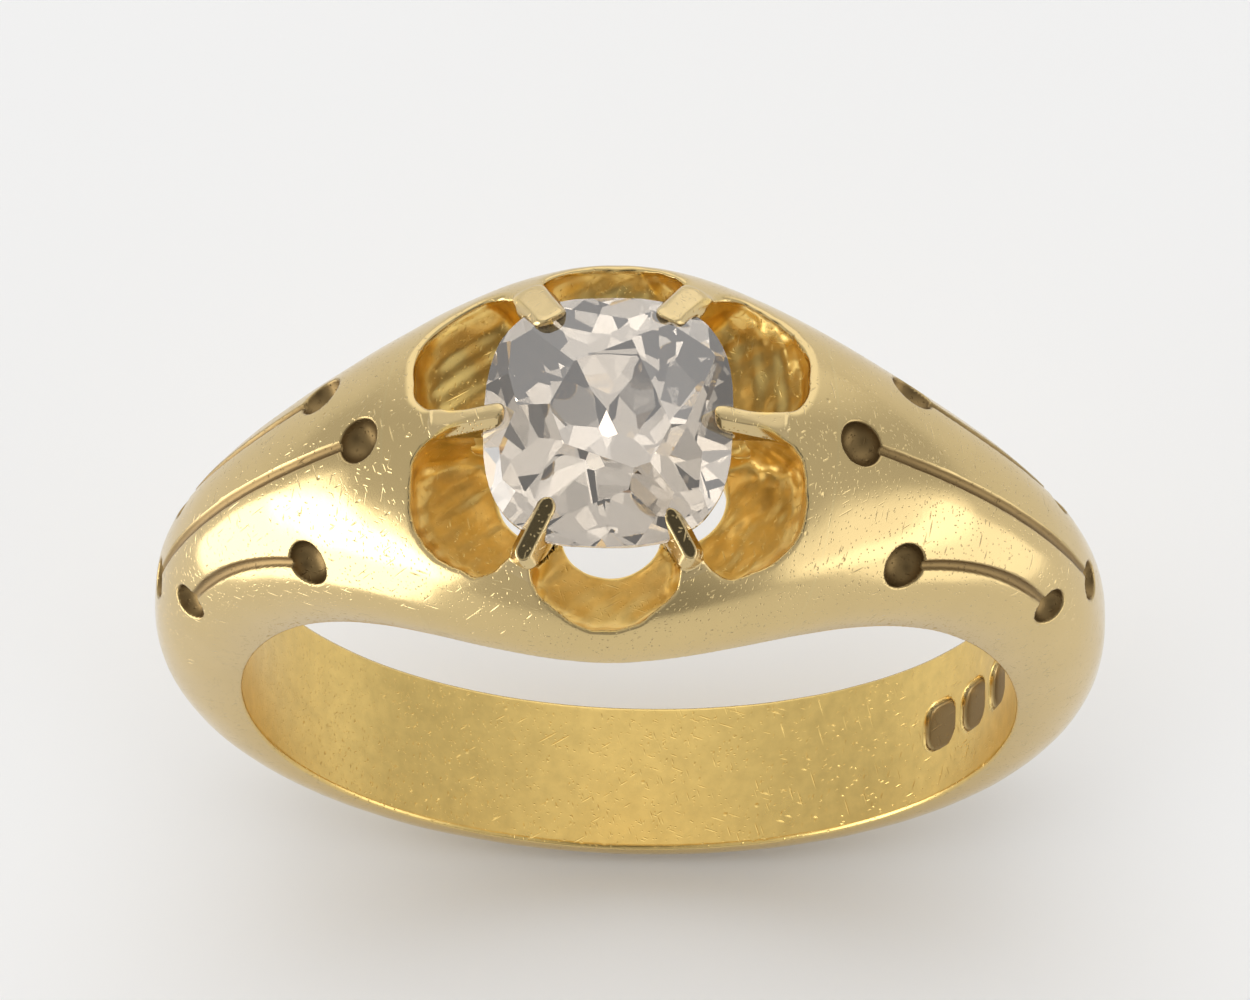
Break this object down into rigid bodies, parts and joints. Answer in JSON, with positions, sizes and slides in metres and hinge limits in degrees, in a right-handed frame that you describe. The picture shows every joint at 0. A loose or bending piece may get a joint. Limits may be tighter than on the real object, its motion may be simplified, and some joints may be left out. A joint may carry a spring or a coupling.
{
  "type": "claw-set ring",
  "caption": "Claw-set engagement ring: cushion-cut stone in a scalloped open-back head, engraved flared shoulders, plain D-section shank.",
  "frame": {"origin": "centre of the finger hole", "axes": "+Y along the finger hole's axis, +Z from the hole's centre to the stone, +X to the right shoulder seen along +Y"},
  "size_m": [0.0214, 0.0092, 0.022],
  "materials": {
    "head_gold": "polished 18 ct yellow gold, satin amber inside the scallops",
    "claw_gold": "polished 18 ct yellow gold, worn bright on the tips",
    "shank_gold": "polished 18 ct yellow gold with fine wear scratches",
    "solder": "hard gold solder, filed flush and polished",
    "stone": "clear faceted diamond, faint warm tint"
  },
  "bodies": {
    "root": {"setting_head": "head_gold", "claw_right": "claw_gold", "claw_back_right": "claw_gold", "claw_back_left": "claw_gold", "claw_left": "claw_gold", "claw_front_left": "claw_gold", "claw_front_right": "claw_gold", "shoulder_left": "shank_gold", "shoulder_right": "shank_gold", "back_shank": "shank_gold", "solder_seams": "solder", "diamond": "stone"}
  },
  "joints": []
}
